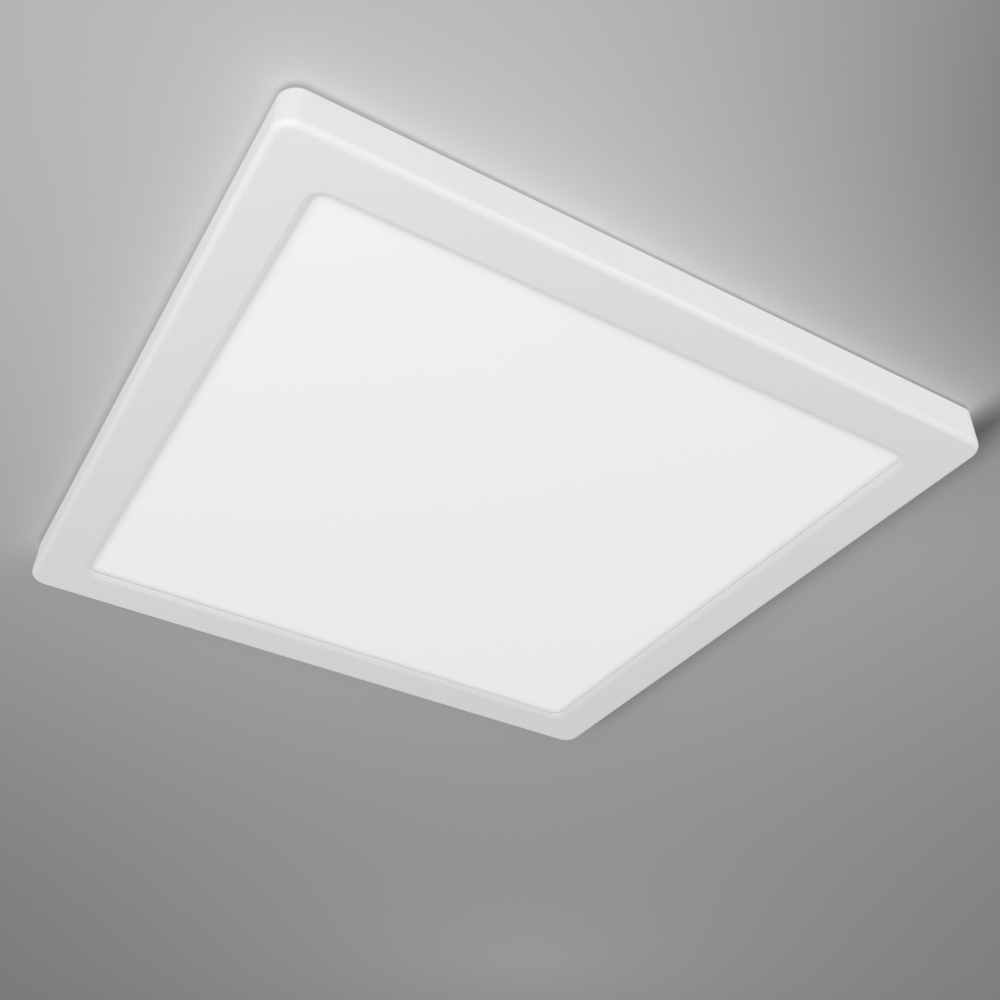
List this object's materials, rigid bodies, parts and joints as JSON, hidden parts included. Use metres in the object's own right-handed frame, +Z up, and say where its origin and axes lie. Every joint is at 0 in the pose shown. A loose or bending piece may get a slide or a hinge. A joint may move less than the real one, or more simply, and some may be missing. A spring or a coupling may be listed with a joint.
{
  "type": "flush mount ceiling light",
  "caption": "Slim square flush mount ceiling light with an opal panel in a white moulded frame, a glow ring behind it and a ceiling plate with spring clips.",
  "frame": {"origin": "centre of the mounting plate's top face, which lies on the ceiling", "axes": "+Z up to the ceiling, out of the plate's fixing slots; X and Y along the sides of the square, the slots run along X"},
  "size_m": [0.4198, 0.4198, 0.028],
  "materials": {
    "housing_white": "satin moulded plastic, white",
    "opal_sheet": "satin opal sheet that diffuses the light",
    "guide_acrylic": "clear acrylic, polished edges",
    "reflector_sheet": "white film",
    "foam_sheet": "soft closed-cell foam sheet, light grey",
    "tray_enamel": "white powder coat on sheet steel",
    "glow_ring": "milky translucent moulding",
    "strip_board": "white solder mask on an aluminium circuit board",
    "led_phosphor": "yellow phosphor in a white cup",
    "plate_zinc": "bright zinc-plated sheet steel",
    "spring_steel": "spring steel, dull",
    "bracket_zinc": "zinc-plated sheet steel",
    "rivet_aluminium": "plain aluminium",
    "screw_zinc": "zinc-plated steel",
    "grommet_rubber": "matt black rubber",
    "driver_case": "fine-textured pale grey plastic",
    "board_green": "green solder mask",
    "ferrite": "dark ferrite",
    "can_aluminium": "dark sleeve on an aluminium can",
    "choke_copper": "enamelled copper winding",
    "terminal_plastic": "pale grey plastic",
    "button_plastic": "orange plastic",
    "clamp_plastic": "white plastic",
    "tag_brass": "tinned brass",
    "lead_brown": "brown cable insulation",
    "lead_blue": "blue cable insulation",
    "lead_earth": "green and yellow cable insulation",
    "lead_red": "red cable insulation",
    "lead_white": "white cable insulation",
    "plug_plastic": "white plastic"
  },
  "bodies": {
    "ceiling_mount": {"mounting_plate": "plate_zinc", "cable_grommet": "grommet_rubber", "spring_clips": "spring_steel", "clip_rivets": "rivet_aluminium"},
    "light_unit": {"front_frame": "housing_white", "diffuser": "opal_sheet", "light_guide": "guide_acrylic", "reflector_film": "reflector_sheet", "backing_foam": "foam_sheet", "led_strip_front": "strip_board", "led_strip_right": "strip_board", "led_strip_rear": "strip_board", "led_strip_left": "strip_board", "led_chips": "led_phosphor", "rear_tray": "tray_enamel", "tray_screws": "screw_zinc", "backlight_ring": "glow_ring", "ring_screws": "screw_zinc", "glow_strip_front": "strip_board", "glow_strip_right": "strip_board", "glow_strip_rear": "strip_board", "glow_strip_left": "strip_board", "glow_chips": "led_phosphor", "catch_brackets": "bracket_zinc", "driver_base": "driver_case", "driver_cover": "driver_case", "driver_board": "board_green", "driver_transformer": "ferrite", "driver_capacitors": "can_aluminium", "driver_choke": "choke_copper", "driver_screws": "screw_zinc", "terminal_block": "terminal_plastic", "terminal_screws": "screw_zinc", "cord_clamp": "clamp_plastic", "clamp_screws": "screw_zinc", "earth_tag": "tag_brass", "earth_screw": "screw_zinc", "live_lead": "lead_brown", "neutral_lead": "lead_blue", "earth_lead": "lead_earth", "panel_leads": "lead_white", "glow_leads": "lead_red", "panel_plug": "plug_plastic", "glow_plug": "plug_plastic"},
    "button_earth": {"release_button_earth": "button_plastic"},
    "button_neutral": {"release_button_neutral": "button_plastic"},
    "button_live": {"release_button_live": "button_plastic"}
  },
  "joints": [
    {"name": "light_unit_drop", "type": "slide", "parent": "ceiling_mount", "child": "light_unit", "axis": [0, 0, -1], "range_m": [0, 0.06], "deforming": ["spring_clips"]},
    {"name": "press_earth", "type": "slide", "parent": "light_unit", "child": "button_earth", "axis": [0, 0, -1], "range_m": [0, 0.0015], "stiffness_N_per_m": 1500, "springref_m": -0.0005},
    {"name": "press_neutral", "type": "slide", "parent": "light_unit", "child": "button_neutral", "axis": [0, 0, -1], "range_m": [0, 0.0015], "stiffness_N_per_m": 1500, "springref_m": -0.0005},
    {"name": "press_live", "type": "slide", "parent": "light_unit", "child": "button_live", "axis": [0, 0, -1], "range_m": [0, 0.0015], "stiffness_N_per_m": 1500, "springref_m": -0.0005}
  ]
}
